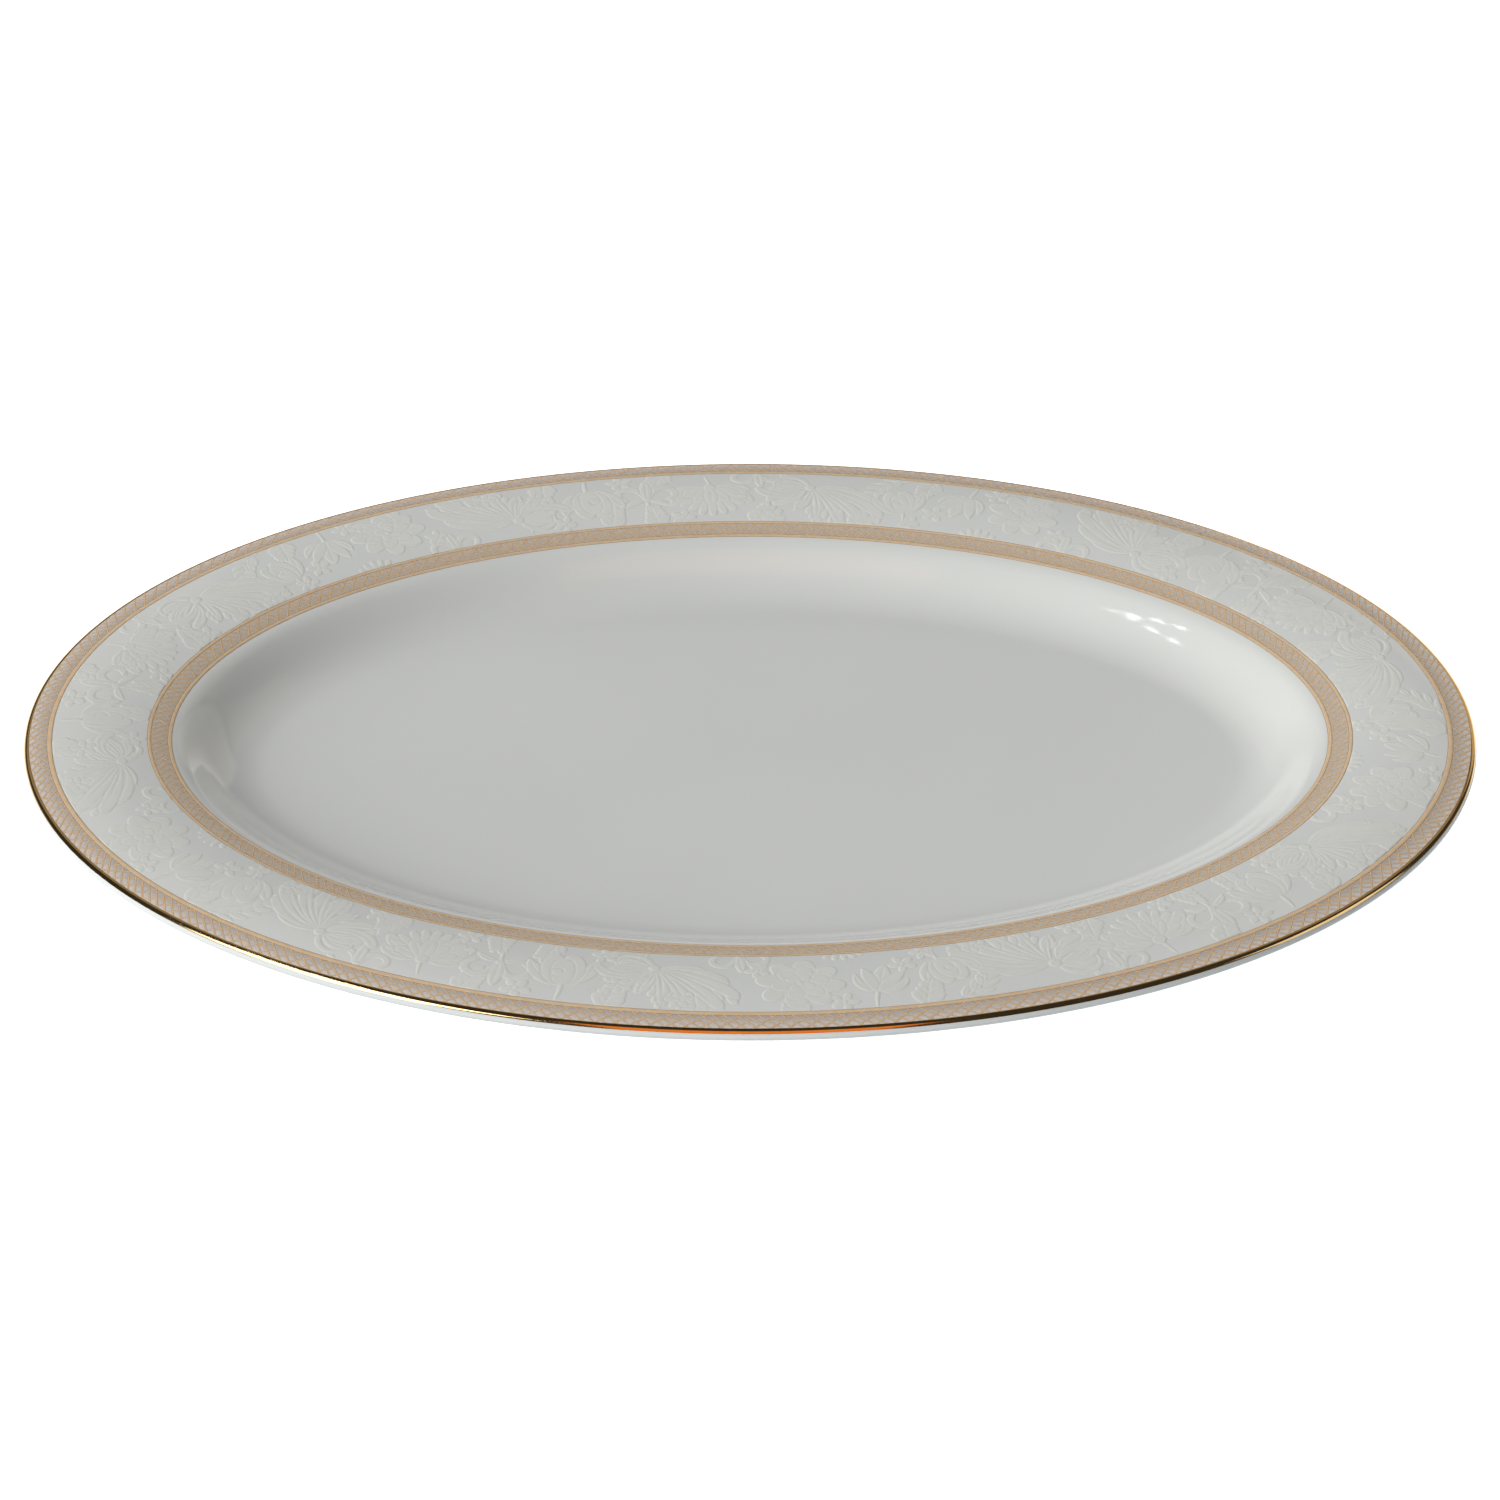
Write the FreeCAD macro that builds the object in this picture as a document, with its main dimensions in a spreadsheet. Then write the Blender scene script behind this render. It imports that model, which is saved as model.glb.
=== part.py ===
"""Oval china serving platter, in millimetres.

The porcelain is one fired piece: a flat floor, a coved well wall, a wide crowned rim and a foot ring.
Over it lie the two glaze skins, the printed bands and relief of the rim, and the gilding of the lip.
Every ring-shaped piece is one section carried round the ellipse of the lip, so that each band keeps
its width all the way round. +X is the long way, +Z is up, and the origin is the middle of the face
that the foot ring stands on.
"""
import FreeCAD, Part
import math
import os
import Sketcher

PARTS_FOLDER = "parts"
SHEET = "platter"

doc = FreeCAD.newDocument("serving_platter")
sheet = doc.addObject("Spreadsheet::Sheet", SHEET)

# Driving dimensions. Every distance is measured inward from the lip.
DRIVING = [
    ("half_length", 180.0, "lip ellipse, long way"),
    ("half_width", 129.5, "lip ellipse, short way"),
    ("lip_height", 19.4, "plane of the lip above the foot"),
    ("lip_radius", 1.5, "the lip is a full round, so the rim is twice this thick"),
    ("rim_width", 36.5, "lip to the inner edge of the printed rim"),
    ("rim_radius", 106.6, "crown of the rim, across its width"),
    ("crown_distance", 13.0, "lip to the highest line of the crown"),
    ("shoulder_radius", 10.5, "rim turning down into the well"),
    ("wall_slope", 37.0, "slope of the well wall, degrees"),
    ("wall_length", 6.0, "straight part of the well wall, down its slope"),
    ("cove_radius", 22.5, "well wall turning into the floor"),
    ("floor_thickness", 4.6, "well floor with both glazes"),
    ("foot_distance", 57.5, "lip to the outer face of the foot ring"),
    ("foot_width", 2.6, "foot ring across, with both glazes"),
    ("foot_fillet", 2.0, "foot ring into the underside of the wall"),
    ("recess_fillet", 1.8, "foot ring into the recessed base"),
    ("foot_grind", 0.5, "clay ground off the foot to make it stand level"),
    ("ring_depth", 68.0, "lip to where the swept section ends"),
    ("disc_distance", 65.0, "lip to the edge of the centre disc"),
    ("glaze_thickness", 0.3, "each glaze skin"),
    ("glaze_stop", 0.8, "height on the foot ring where the glaze is wiped off"),
    ("print_thickness", 0.2, "each printed layer"),
    ("gilt_width", 1.5, "lip gilding on the upper side, past where the lip's round ends"),
    ("gilt_thickness", 0.3, "gilding of the lip"),
    ("gilt_angle", 35.0, "where the gilding ends round the lip, degrees above level"),
    ("outer_lattice_end", 5.85, "lip to the inner edge of the outer lattice"),
    ("outer_border_end", 7.2, "lip to the inner edge of the outer border line"),
    ("damask_end", 30.4, "lip to the inner edge of the relief"),
    ("middle_border_end", 31.4, "lip to the inner edge of the middle border line"),
    ("inner_lattice_end", 35.4, "lip to the inner edge of the inner lattice"),
]

# Centres and slopes that follow from them, each in the plane of the section.
DERIVED = [
    ("wall_thickness", "2 * lip_radius"),
    ("sin_rim", "(rim_width - crown_distance) / rim_radius"),
    ("cos_rim", "sqrt(1 - sin_rim^2)"),
    ("sin_wall", "sin(wall_slope)"),
    ("cos_wall", "cos(wall_slope)"),
    ("sin_lip", "(crown_distance - lip_radius) / (rim_radius - lip_radius)"),
    ("cos_lip", "sqrt(1 - sin_lip^2)"),
    ("rim_x", "half_length - crown_distance"),
    ("rim_z", "lip_height - sqrt(rim_radius^2 - crown_distance^2)"),
    ("shoulder_x", "rim_x - (rim_radius - shoulder_radius) * sin_rim"),
    ("shoulder_z", "rim_z + (rim_radius - shoulder_radius) * cos_rim"),
    ("cove_x", "shoulder_x - (shoulder_radius + cove_radius) * sin_wall - wall_length * cos_wall"),
    ("cove_z", "shoulder_z + (shoulder_radius + cove_radius) * cos_wall - wall_length * sin_wall"),
    ("lip_x", "half_length - lip_radius"),
    ("lip_z", "rim_z + (rim_radius - lip_radius) * cos_lip"),
    ("floor_z", "cove_z - cove_radius"),
    ("recess_z", "floor_z - floor_thickness"),
    ("ring_x", "half_length - ring_depth"),
    ("foot_x", "half_length - foot_distance"),
    ("foot_inner_x", "foot_x - foot_width"),
    ("fillet_x", "foot_x + foot_fillet"),
    ("fillet_reach", "cove_radius + wall_thickness + foot_fillet"),
    ("fillet_z", "cove_z - sqrt(fillet_reach^2 - (fillet_x - cove_x)^2)"),
    ("hollow_x", "foot_inner_x - recess_fillet"),
    ("hollow_z", "recess_z - recess_fillet"),
]


def put_cell(alias, content, note=""):
    """Add a row to the sheet: the name, the value or formula, and a note."""
    put_cell.row += 1
    sheet.set("A%d" % put_cell.row, alias)
    sheet.set("B%d" % put_cell.row, content)
    sheet.set("C%d" % put_cell.row, note)
    sheet.setAlias("B%d" % put_cell.row, alias)


put_cell.row = 0


def put_point(name, x, z):
    """Add the two cells of a point of the section."""
    put_cell(name + "_x", "=" + x)
    put_cell(name + "_z", "=" + z)


def put_around(name, centre, radius, across, up):
    """Add a point that lies at a radius from a centre, in the direction (across, up)."""
    x = "%s_x + (%s) * (%s)" % (centre, radius, across)
    z = "%s_z + (%s) * (%s)" % (centre, radius, up)
    put_point(name, x, z)


def put_section(tag, inset):
    """Add the section's points, for a surface that lies the given inset under the finished one."""
    cove_under = "cove_radius + wall_thickness - " + inset
    put_point(tag + "_floor", "ring_x", "floor_z - " + inset)
    put_point(tag + "_cove", "cove_x", "floor_z - " + inset)
    put_around(tag + "_wall_low", "cove", "cove_radius + " + inset, "sin_wall", "-cos_wall")
    put_around(tag + "_wall_high", "shoulder", "shoulder_radius - " + inset, "-sin_wall", "cos_wall")
    put_around(tag + "_shoulder", "rim", "rim_radius - " + inset, "-sin_rim", "cos_rim")
    put_around(tag + "_rim", "rim", "rim_radius - " + inset, "sin_lip", "cos_lip")
    put_point(tag + "_edge", "half_length - " + inset, "lip_z")
    put_around(tag + "_under", "lip", "lip_radius - " + inset, "-sin_lip", "-cos_lip")
    put_around(tag + "_bend", "rim", "rim_radius - wall_thickness + " + inset, "-sin_rim", "cos_rim")
    put_around(tag + "_slope_high", "shoulder", "shoulder_radius - wall_thickness + " + inset,
               "-sin_wall", "cos_wall")
    put_around(tag + "_slope_low", "cove", cove_under, "sin_wall", "-cos_wall")
    put_around(tag + "_foot_top", "cove", cove_under, "(fillet_x - cove_x) / fillet_reach",
               "(fillet_z - cove_z) / fillet_reach")
    put_point(tag + "_foot_side", "foot_x - " + inset, "fillet_z")
    put_point(tag + "_foot_stop", "foot_x - " + inset, "glaze_stop")
    put_point(tag + "_foot_tip", "foot_x - " + inset, "-foot_grind")
    put_point(tag + "_hollow_tip", "foot_inner_x + " + inset, "-foot_grind")
    put_point(tag + "_hollow_stop", "foot_inner_x + " + inset, "glaze_stop")
    put_point(tag + "_hollow_side", "foot_inner_x + " + inset, "hollow_z")
    put_point(tag + "_hollow_top", "hollow_x", "recess_z + " + inset)
    put_point(tag + "_base", "ring_x", "recess_z + " + inset)


def put_on_rim(name, distance, lift):
    """Add a point above the rim's crown, at a distance from the lip and lifted by a height."""
    put_point(name, "half_length - " + distance,
              "rim_z + sqrt((rim_radius + %s)^2 - (crown_distance - %s)^2)" % (lift, distance))


def put_strip(name, start, end, bottom, top):
    """Add the four corners of a printed strip that follows the rim's crown."""
    put_on_rim(name + "_start_low", start, bottom)
    put_on_rim(name + "_end_low", end, bottom)
    put_on_rim(name + "_end_high", end, top)
    put_on_rim(name + "_start_high", start, top)


# The printed strips: name, where they start and end, and the layer that they lie in.
STRIPS = [
    ("outer_lattice_ground", "gilt_width", "outer_lattice_end", "0", "print_thickness"),
    ("outer_lattice", "gilt_width", "outer_lattice_end", "print_thickness", "2 * print_thickness"),
    ("outer_border_line", "outer_lattice_end", "outer_border_end", "0", "print_thickness"),
    ("damask_relief", "outer_border_end", "damask_end", "0", "print_thickness"),
    ("middle_border_line", "damask_end", "middle_border_end", "0", "print_thickness"),
    ("inner_lattice_ground", "middle_border_end", "inner_lattice_end", "0", "print_thickness"),
    ("inner_lattice", "middle_border_end", "inner_lattice_end", "print_thickness", "2 * print_thickness"),
    ("well_border_line", "inner_lattice_end", "rim_width", "0", "print_thickness"),
]


def fill_sheet():
    """Write the driving dimensions, the derived ones and every point of every section."""
    for alias, value, note in DRIVING:
        put_cell(alias, repr(value), note)
    for alias, formula in DERIVED:
        put_cell(alias, "=" + formula)
    put_section("skin", "0")
    put_section("clay", "glaze_thickness")
    for name, start, end, bottom, top in STRIPS:
        put_strip(name, start, end, bottom, top)
    put_on_rim("gilt_start_low", "gilt_width", "0")
    put_on_rim("gilt_start_high", "gilt_width", "gilt_thickness")
    put_around("gilt_turn_high", "rim", "rim_radius + gilt_thickness", "sin_lip", "cos_lip")
    put_around("gilt_end_high", "lip", "lip_radius + gilt_thickness", "cos(gilt_angle)", "sin(gilt_angle)")
    put_around("gilt_end_low", "lip", "lip_radius", "cos(gilt_angle)", "sin(gilt_angle)")
    doc.recompute()


def spot(name):
    """Read a point of the section from the sheet."""
    return FreeCAD.Vector(sheet.get(name + "_x"), sheet.get(name + "_z"), 0)


def bind(item, what, formula):
    """Bind a property or a constraint to a formula in the sheet's cells."""
    words = []
    for word in formula.split(" "):
        bare = word.strip("()")
        named = bare and (bare[0].isalpha())
        words.append(word.replace(bare, SHEET + "." + bare) if named else word)
    item.setExpression(what, " ".join(words))


def new_sketch(body, name, role):
    """Attach a sketch to one of the body's own origin planes."""
    sketch = body.newObject("Sketcher::SketchObject", body.Name + "_" + name)
    plane = [feature for feature in body.Origin.OriginFeatures if feature.Role == role][0]
    sketch.AttachmentSupport = [(plane, "")]
    sketch.MapMode = "FlatFace"
    return sketch


def dimension(sketch, kind, arguments, formula):
    """Add a dimension to a sketch and bind it to the sheet."""
    index = sketch.addConstraint(Sketcher.Constraint(kind, *arguments))
    bind(sketch, "Constraints[%d]" % index, formula)


def draw_ellipse(sketch, half_length, half_width, inset):
    """Draw an ellipse about the origin whose half axes are the lip's less an inset."""
    sketch.addGeometry(Part.Ellipse(FreeCAD.Vector(0, 0, 0), half_length, half_width))
    sketch.exposeInternalGeometry(0)
    long_axis = 1
    short_axis = 2
    sketch.addConstraint(Sketcher.Constraint("Coincident", 0, 3, -1, 1))
    sketch.addConstraint(Sketcher.Constraint("Horizontal", long_axis))
    dimension(sketch, "Distance", (long_axis, 2 * half_length), "2 * ( half_length - %s )" % inset)
    dimension(sketch, "Distance", (short_axis, 2 * half_width), "2 * ( half_width - %s )" % inset)


def arc_between(start, end, centre):
    """Make the shorter arc between two points, and say whether it runs from start to end."""
    radius = start.distanceToPoint(centre)
    from_angle = math.atan2(start.y - centre.y, start.x - centre.x)
    to_angle = math.atan2(end.y - centre.y, end.x - centre.x)
    turn = (to_angle - from_angle + math.pi) % (2 * math.pi) - math.pi
    circle = Part.Circle(centre, FreeCAD.Vector(0, 0, 1), radius)
    if turn > 0:
        return Part.ArcOfCircle(circle, from_angle, from_angle + turn), True
    return Part.ArcOfCircle(circle, to_angle, to_angle - turn), False


def draw_outline(sketch, corners):
    """Draw a closed outline.

    Each corner is (point, centre, radius): the name of its point and, where an arc leads on to the
    next corner, the name of the arc's centre and the formula of its radius. A line leads on where
    the centre is None.
    """
    ends = []
    for index, (point, centre, radius) in enumerate(corners):
        start = spot(point)
        end = spot(corners[(index + 1) % len(corners)][0])
        forward = True
        if centre is None:
            sketch.addGeometry(Part.LineSegment(start, end))
        else:
            arc, forward = arc_between(start, end, spot(centre))
            sketch.addGeometry(arc)
            dimension(sketch, "Radius", (index, start.distanceToPoint(spot(centre))), radius)
        ends.append((1, 2) if forward else (2, 1))
    for index, (point, _, _) in enumerate(corners):
        last = index - 1 if index else len(corners) - 1
        sketch.addConstraint(Sketcher.Constraint("Coincident", last, ends[last][1], index, ends[index][0]))
        place = spot(point)
        dimension(sketch, "DistanceX", (index, ends[index][0], place.x), point + "_x")
        dimension(sketch, "DistanceY", (index, ends[index][0], place.y), point + "_z")


def new_body(name):
    """Make an empty body whose label is the node's name."""
    body = doc.addObject("PartDesign::Body", name)
    body.Label = name
    return body


def sweep_round(body, corners):
    """Carry a section round the ellipse of the lip."""
    path = new_sketch(body, "lip_ellipse", "XY_Plane")
    draw_ellipse(path, sheet.half_length, sheet.half_width, "0")
    section = new_sketch(body, "section", "XZ_Plane")
    draw_outline(section, corners)
    pipe = body.newObject("PartDesign::AdditivePipe", body.Name + "_ring")
    pipe.Profile = section
    pipe.Spine = (path, ["Edge1"])
    pipe.Mode = "Frenet"
    doc.recompute()


def fill_middle(body, bottom, top):
    """Close the ring with the flat disc of the floor or base, between two heights."""
    outline = new_sketch(body, "disc_ellipse", "XY_Plane")
    inset = sheet.disc_distance
    draw_ellipse(outline, sheet.half_length - inset, sheet.half_width - inset, "disc_distance")
    bind(outline, "AttachmentOffset.Base.z", bottom)
    disc = body.newObject("PartDesign::Pad", body.Name + "_disc")
    disc.Profile = outline
    bind(disc, "Length", "%s - ( %s )" % (top, bottom))
    doc.recompute()


def grind_foot(body):
    """Take off what the foot ring has below its standing plane."""
    outline = new_sketch(body, "grinding_ellipse", "XY_Plane")
    draw_ellipse(outline, sheet.half_length, sheet.half_width, "0")
    cut = body.newObject("PartDesign::Pocket", body.Name + "_ground_foot")
    cut.Profile = outline
    bind(cut, "Length", "2 * foot_grind")
    doc.recompute()
    before = cut.BaseFeature.Shape.Volume
    if cut.Shape.Volume > before - 1:
        raise RuntimeError("grinding the foot took nothing off")


def surface(tag, inset):
    """List the section's corners from the floor over the lip to the foot, for one surface."""
    return [
        (tag + "_floor", None, None),
        (tag + "_cove", "cove", "cove_radius + " + inset),
        (tag + "_wall_low", None, None),
        (tag + "_wall_high", "shoulder", "shoulder_radius - " + inset),
        (tag + "_shoulder", "rim", "rim_radius - " + inset),
        (tag + "_rim", "lip", "lip_radius - " + inset),
        (tag + "_edge", "lip", "lip_radius - " + inset),
        (tag + "_under", "rim", "rim_radius - wall_thickness + " + inset),
        (tag + "_bend", "shoulder", "shoulder_radius - wall_thickness + " + inset),
        (tag + "_slope_high", None, None),
        (tag + "_slope_low", "cove", "cove_radius + wall_thickness - " + inset),
        (tag + "_foot_top", "fillet", "foot_fillet + " + inset),
        (tag + "_foot_side", None, None),
    ]


def backward(corners):
    """Give the same run of corners from its far end, with the arcs kept between the same points."""
    points = [corner[0] for corner in corners]
    arcs = [corner[1:] for corner in corners[:-1]]
    points.reverse()
    arcs.reverse()
    return [(point,) + arc for point, arc in zip(points, arcs + [(None, None)])]


def make_porcelain_body():
    """The fired clay: floor, wall, rim, foot ring and recessed base in one piece."""
    body = new_body("porcelain_body")
    sweep_round(body, surface("clay", "glaze_thickness") + [
        ("clay_foot_tip", None, None),
        ("clay_hollow_tip", None, None),
        ("clay_hollow_side", "hollow", "recess_fillet + glaze_thickness"),
        ("clay_hollow_top", None, None),
        ("clay_base", None, None),
    ])
    fill_middle(body, "recess_z + glaze_thickness", "floor_z - glaze_thickness")
    grind_foot(body)
    return body


def make_upper_glaze():
    """The glaze over the well, the rim and the lip, and down the outside to the foot ring."""
    body = new_body("upper_glaze")
    outside = surface("skin", "0") + [("skin_foot_stop", None, None)]
    inside = surface("clay", "glaze_thickness") + [("clay_foot_stop", None, None)]
    sweep_round(body, outside + backward(inside))
    fill_middle(body, "floor_z - glaze_thickness", "floor_z")
    return body


def make_base_glaze():
    """The glaze of the recessed base, up to the unglazed foot ring."""
    body = new_body("base_glaze")
    sweep_round(body, [
        ("skin_hollow_stop", None, None),
        ("skin_hollow_side", "hollow", "recess_fillet"),
        ("skin_hollow_top", None, None),
        ("skin_base", None, None),
        ("clay_base", None, None),
        ("clay_hollow_top", "hollow", "recess_fillet + glaze_thickness"),
        ("clay_hollow_side", None, None),
        ("clay_hollow_stop", None, None),
    ])
    fill_middle(body, "recess_z", "recess_z + glaze_thickness")
    return body


def make_gilt_edge():
    """The gilding that wraps the lip, from the rim's upper side round to the outer face."""
    body = new_body("gilt_edge")
    sweep_round(body, [
        ("gilt_start_low", None, None),
        ("gilt_start_high", "rim", "rim_radius + gilt_thickness"),
        ("gilt_turn_high", "lip", "lip_radius + gilt_thickness"),
        ("gilt_end_high", None, None),
        ("gilt_end_low", "lip", "lip_radius"),
        ("skin_rim", "rim", "rim_radius"),
    ])
    return body


def make_strip(name, bottom, top):
    """One printed strip of the rim."""
    body = new_body(name)
    sweep_round(body, [
        (name + "_start_low", "rim", "rim_radius + " + bottom),
        (name + "_end_low", None, None),
        (name + "_end_high", "rim", "rim_radius + " + top),
        (name + "_start_high", None, None),
    ])
    return body


def check_and_write(bodies):
    """Stop on any failed object or bad shape, then write each sub-part to its own file."""
    for item in doc.Objects:
        if "Invalid" in item.State or "Error" in item.State:
            raise RuntimeError("%s failed to build" % item.Name)
    for body in bodies:
        if body.Shape.isNull() or not body.Shape.isValid() or len(body.Shape.Solids) != 1:
            raise RuntimeError("%s is not one valid solid" % body.Label)
    os.makedirs(PARTS_FOLDER, exist_ok=True)
    for body in bodies:
        body.Shape.exportStep(os.path.join(PARTS_FOLDER, body.Label + ".step"))
        print("%-22s %12.1f mm3" % (body.Label, body.Shape.Volume))


def main():
    """Build every sub-part of the platter."""
    fill_sheet()
    bodies = [make_porcelain_body(), make_upper_glaze(), make_base_glaze(), make_gilt_edge()]
    for name, start, end, bottom, top in STRIPS:
        bodies.append(make_strip(name, bottom, top))
    doc.recompute()
    check_and_write(bodies)


main()
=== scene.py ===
"""The looks of an oval porcelain platter: glaze, raised damask, gold lattice bands and a gilt lip.

Every ring-shaped piece follows the ellipse of the lip. A place on the rim is given by how far it is
along the rim, how far in from the lip, and how high above the glaze, all in millimetres.
"""
import math

import bpy
import numpy as np
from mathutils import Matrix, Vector


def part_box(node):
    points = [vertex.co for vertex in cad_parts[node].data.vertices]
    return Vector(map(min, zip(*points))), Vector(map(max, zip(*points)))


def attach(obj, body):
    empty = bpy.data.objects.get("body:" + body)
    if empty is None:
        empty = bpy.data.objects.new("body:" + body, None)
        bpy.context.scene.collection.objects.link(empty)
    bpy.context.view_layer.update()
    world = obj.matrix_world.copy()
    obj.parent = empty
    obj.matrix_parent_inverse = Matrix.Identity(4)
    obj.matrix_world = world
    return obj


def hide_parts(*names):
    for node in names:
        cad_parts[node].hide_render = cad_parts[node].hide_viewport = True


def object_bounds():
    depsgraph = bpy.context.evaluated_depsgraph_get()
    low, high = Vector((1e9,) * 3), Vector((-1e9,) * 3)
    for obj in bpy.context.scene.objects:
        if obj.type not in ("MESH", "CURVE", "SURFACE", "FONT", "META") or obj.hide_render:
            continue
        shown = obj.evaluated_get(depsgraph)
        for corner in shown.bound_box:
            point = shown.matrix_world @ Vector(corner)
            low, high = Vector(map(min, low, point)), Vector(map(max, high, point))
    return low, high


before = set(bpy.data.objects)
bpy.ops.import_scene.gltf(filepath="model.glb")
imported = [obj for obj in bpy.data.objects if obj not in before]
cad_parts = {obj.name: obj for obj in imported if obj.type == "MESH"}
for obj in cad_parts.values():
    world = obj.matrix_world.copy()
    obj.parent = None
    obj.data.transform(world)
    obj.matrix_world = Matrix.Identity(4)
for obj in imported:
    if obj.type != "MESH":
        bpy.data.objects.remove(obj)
cad_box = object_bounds()

MM = 0.001
BODY = "root"

# ---------------------------------------------------------------- the section, as in the CAD model
CROWN_DISTANCE = 13.0
RIM_RADIUS = 106.6
RIM_WIDTH = 36.5
SHOULDER_RADIUS = 10.5
WALL_SLOPE = math.radians(37.0)
WALL_LENGTH = 6.0
COVE_RADIUS = 22.5
LIP_RADIUS = 1.5
WALL_THICKNESS = 2 * LIP_RADIUS
FOOT_DISTANCE = 57.5
FOOT_WIDTH = 2.6
FOOT_FILLET = 2.0
RECESS_FILLET = 1.8
GLAZE = 0.3
GLAZE_STOP = 0.8
GILT_ANGLE = math.radians(35.0)

skin_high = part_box("upper_glaze")[1] / MM
HALF_LENGTH = skin_high.x
HALF_WIDTH = skin_high.y
RECESS_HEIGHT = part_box("base_glaze")[1].z / MM - GLAZE

RIM_RISE = math.sqrt(RIM_RADIUS ** 2 - CROWN_DISTANCE ** 2)
LIP_HEIGHT = skin_high.z - RIM_RADIUS + RIM_RISE
SIN_RIM = (RIM_WIDTH - CROWN_DISTANCE) / RIM_RADIUS
COS_RIM = math.sqrt(1 - SIN_RIM ** 2)
SIN_LIP = (CROWN_DISTANCE - LIP_RADIUS) / (RIM_RADIUS - LIP_RADIUS)
COS_LIP = math.sqrt(1 - SIN_LIP ** 2)
SIN_WALL = math.sin(WALL_SLOPE)
COS_WALL = math.cos(WALL_SLOPE)

# Centres of the section's arcs, as (distance in from the lip, height).
RIM_CENTRE = (CROWN_DISTANCE, LIP_HEIGHT - RIM_RISE)
SHOULDER_CENTRE = (
    RIM_CENTRE[0] + (RIM_RADIUS - SHOULDER_RADIUS) * SIN_RIM,
    RIM_CENTRE[1] + (RIM_RADIUS - SHOULDER_RADIUS) * COS_RIM,
)
COVE_CENTRE = (
    SHOULDER_CENTRE[0] + (SHOULDER_RADIUS + COVE_RADIUS) * SIN_WALL + WALL_LENGTH * COS_WALL,
    SHOULDER_CENTRE[1] + (SHOULDER_RADIUS + COVE_RADIUS) * COS_WALL - WALL_LENGTH * SIN_WALL,
)
# The wall swells a little: it is steepest in the middle, and eases off towards its two ends.
WALL_EASE = math.radians(35.0)
WALL_RUN = (
    COVE_CENTRE[0] - SHOULDER_CENTRE[0] - (SHOULDER_RADIUS + COVE_RADIUS) * math.sin(WALL_EASE),
    SHOULDER_CENTRE[1] - COVE_CENTRE[1] + (SHOULDER_RADIUS + COVE_RADIUS) * math.cos(WALL_EASE),
)
WALL_PEAK = 2 * math.atan2(WALL_RUN[1], WALL_RUN[0]) - WALL_EASE
LIP_CENTRE = (LIP_RADIUS, RIM_CENTRE[1] + (RIM_RADIUS - LIP_RADIUS) * COS_LIP)
FILLET_REACH = COVE_RADIUS + WALL_THICKNESS + FOOT_FILLET
FILLET_DISTANCE = FOOT_DISTANCE - FOOT_FILLET
FILLET_CENTRE = (
    FILLET_DISTANCE,
    COVE_CENTRE[1] - math.sqrt(FILLET_REACH ** 2 - (FILLET_DISTANCE - COVE_CENTRE[0]) ** 2),
)
HOLLOW_CENTRE = (FOOT_DISTANCE + FOOT_WIDTH + RECESS_FILLET, RECESS_HEIGHT - RECESS_FILLET)


def outer_edge(node):
    """How far in from the lip a printed strip starts."""
    return HALF_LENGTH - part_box(node)[1].x / MM


OUTER_LATTICE = (outer_edge("outer_lattice"), outer_edge("outer_border_line"))
OUTER_BORDER = (outer_edge("outer_border_line"), outer_edge("damask_relief"))
DAMASK = (outer_edge("damask_relief"), outer_edge("middle_border_line"))
MIDDLE_BORDER = (outer_edge("middle_border_line"), outer_edge("inner_lattice"))
INNER_LATTICE = (outer_edge("inner_lattice"), outer_edge("well_border_line"))
WELL_BORDER = (outer_edge("well_border_line"), RIM_WIDTH)


# ---------------------------------------------------------------- from the rim's measures to the frame
RING_STEPS = 720
TABLE_STEPS = 7200
MIDDLE_OF_RIM = sum(DAMASK) / 2


def ellipse_at(angle, distance):
    """A point of the curve that lies a distance inside the lip, at an angle of the lip's ellipse."""
    across = np.hypot(HALF_WIDTH * np.cos(angle), HALF_LENGTH * np.sin(angle))
    x = np.cos(angle) * (HALF_LENGTH - distance * HALF_WIDTH / across)
    y = np.sin(angle) * (HALF_WIDTH - distance * HALF_LENGTH / across)
    return x, y


def length_table(distance):
    """Angles of the ellipse, and the length along the curve at a distance inside the lip."""
    angle = np.linspace(0, 2 * math.pi, TABLE_STEPS + 1)
    x, y = ellipse_at(angle, distance)
    length = np.concatenate([[0], np.cumsum(np.hypot(np.diff(x), np.diff(y)))])
    return angle, length


RIM_ANGLE, RIM_LENGTH = length_table(MIDDLE_OF_RIM)
PERIMETER = RIM_LENGTH[-1]


def angle_at(along):
    """The ellipse's angle at a length along the middle of the rim."""
    turns, rest = np.divmod(np.asarray(along, float), PERIMETER)
    return np.interp(rest, RIM_LENGTH, RIM_ANGLE) + turns * 2 * math.pi


def on_rim(along, distance, lift):
    """The frame's coordinates, in metres, of points given by their place on the rim's glaze."""
    distance = np.asarray(distance, float)
    tilt = (distance - CROWN_DISTANCE) / RIM_RADIUS
    up = np.sqrt(1 - tilt ** 2)
    x, y = ellipse_at(angle_at(along), distance + lift * tilt)
    z = RIM_CENTRE[1] + (RIM_RADIUS + lift) * up
    return np.stack([x, y, z], -1) * MM


def arc(centre, radius, start, end, steps):
    """Points of an arc in the section. Angles are from straight up, turning inwards."""
    angles = np.linspace(start, end, steps + 1)
    return [(centre[0] + radius * math.sin(angle), centre[1] + radius * math.cos(angle))
            for angle in angles]


# ---------------------------------------------------------------- meshes
SHARP = math.radians(40)


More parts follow.
